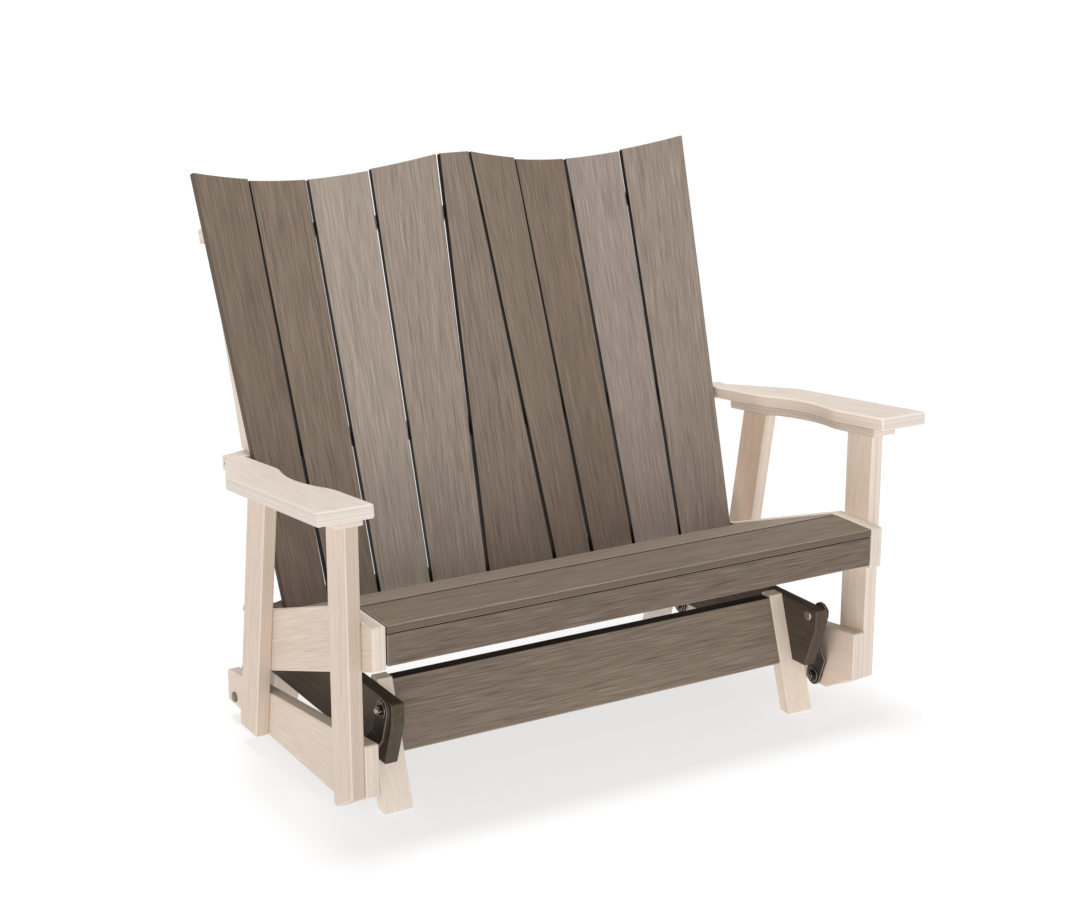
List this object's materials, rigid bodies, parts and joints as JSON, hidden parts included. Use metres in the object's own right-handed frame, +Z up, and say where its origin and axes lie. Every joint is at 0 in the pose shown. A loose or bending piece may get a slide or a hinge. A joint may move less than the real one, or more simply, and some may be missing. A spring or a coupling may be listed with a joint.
{
  "type": "double porch glider",
  "caption": "Two-person outdoor glider bench with a fan back, flat arms and a seat that hangs on swing arms from a low base.",
  "frame": {"origin": "on the floor under the middle of the whole glider at rest", "axes": "+X along the bench to the sitter's left, which is the right of the picture, +Y to the back, +Z up"},
  "size_m": [1.358, 0.8451, 1.1491],
  "materials": {
    "light_lumber": "matt, streaky wood grain",
    "dark_lumber": "matt, streaky wood grain",
    "dark_steel": "satin powder coat",
    "stainless_steel": "satin",
    "nylon": "smooth"
  },
  "bodies": {
    "base": {"base_leg_front_left": "light_lumber", "base_leg_front_right": "light_lumber", "base_leg_rear_left": "light_lumber", "base_leg_rear_right": "light_lumber", "base_rail_left": "dark_lumber", "base_rail_right": "dark_lumber", "base_stretcher_front": "dark_lumber", "base_stretcher_rear": "dark_lumber", "upper_pivot_bolts": "dark_steel", "upper_pivot_washers": "dark_steel", "upper_pivot_nuts": "dark_steel", "base_screws": "stainless_steel"},
    "swing_arm_front_left": {"swing_arm_front_left": "dark_steel", "arm_bushes_front_left": "nylon"},
    "swing_arm_front_right": {"swing_arm_front_right": "dark_steel", "arm_bushes_front_right": "nylon"},
    "swing_arm_rear_left": {"swing_arm_rear_left": "dark_steel", "arm_bushes_rear_left": "nylon"},
    "swing_arm_rear_right": {"swing_arm_rear_right": "dark_steel", "arm_bushes_rear_right": "nylon"},
    "seat": {"front_leg_left": "light_lumber", "rear_leg_left": "light_lumber", "lower_rail_left": "light_lumber", "seat_rail_left": "light_lumber", "arm_support_left": "light_lumber", "armrest_left": "light_lumber", "back_post_left": "light_lumber", "seat_cleat_left": "dark_lumber", "front_leg_right": "light_lumber", "rear_leg_right": "light_lumber", "lower_rail_right": "light_lumber", "seat_rail_right": "light_lumber", "arm_support_right": "light_lumber", "armrest_right": "light_lumber", "back_post_right": "light_lumber", "seat_cleat_right": "dark_lumber", "seat_apron": "dark_lumber", "seat_centre_rail": "dark_lumber", "seat_slat_1": "dark_lumber", "seat_slat_2": "dark_lumber", "seat_slat_3": "dark_lumber", "seat_slat_4": "dark_lumber", "back_slat_1": "dark_lumber", "back_slat_2": "dark_lumber", "back_slat_3": "dark_lumber", "back_slat_4": "dark_lumber", "back_slat_5": "dark_lumber", "back_slat_6": "dark_lumber", "back_slat_7": "dark_lumber", "back_slat_8": "dark_lumber", "back_slat_9": "dark_lumber", "back_brace_upper": "light_lumber", "back_brace_middle": "light_lumber", "back_brace_lower": "dark_lumber", "lower_pivot_bolts": "dark_steel", "lower_pivot_washers": "dark_steel", "lower_pivot_nuts": "dark_steel", "frame_screws": "stainless_steel", "screw_plugs": "light_lumber", "back_screws": "stainless_steel"}
  },
  "joints": [
    {"name": "glide", "type": "hinge", "parent": "base", "child": "swing_arm_front_left", "pos_m": [-0.5113, -0.3174, 0.223], "axis": [1, 0, 0], "range_deg": [-12, 12]},
    {"name": "front_right_arm_pivot", "type": "hinge", "parent": "base", "child": "swing_arm_front_right", "pos_m": [0.5113, -0.3174, 0.223], "axis": [1, 0, 0], "range_deg": [-12, 12]},
    {"name": "rear_left_arm_pivot", "type": "hinge", "parent": "base", "child": "swing_arm_rear_left", "pos_m": [-0.5113, 0.3176, 0.223], "axis": [1, 0, 0], "range_deg": [-12, 12]},
    {"name": "rear_right_arm_pivot", "type": "hinge", "parent": "base", "child": "swing_arm_rear_right", "pos_m": [0.5113, 0.3176, 0.223], "axis": [1, 0, 0], "range_deg": [-12, 12]},
    {"name": "seat_pivot", "type": "hinge", "parent": "swing_arm_front_left", "child": "seat", "pos_m": [-0.5457, -0.2564, 0.056], "axis": [1, 0, 0], "range_deg": [-15, 15]}
  ],
  "couplings": [
    {"joint": "front_right_arm_pivot", "follows": "glide", "ratio": 1},
    {"joint": "rear_left_arm_pivot", "follows": "glide", "ratio": 1},
    {"joint": "rear_right_arm_pivot", "follows": "glide", "ratio": 1},
    {"joint": "seat_pivot", "follows": "glide", "ratio": -1.2378}
  ]
}
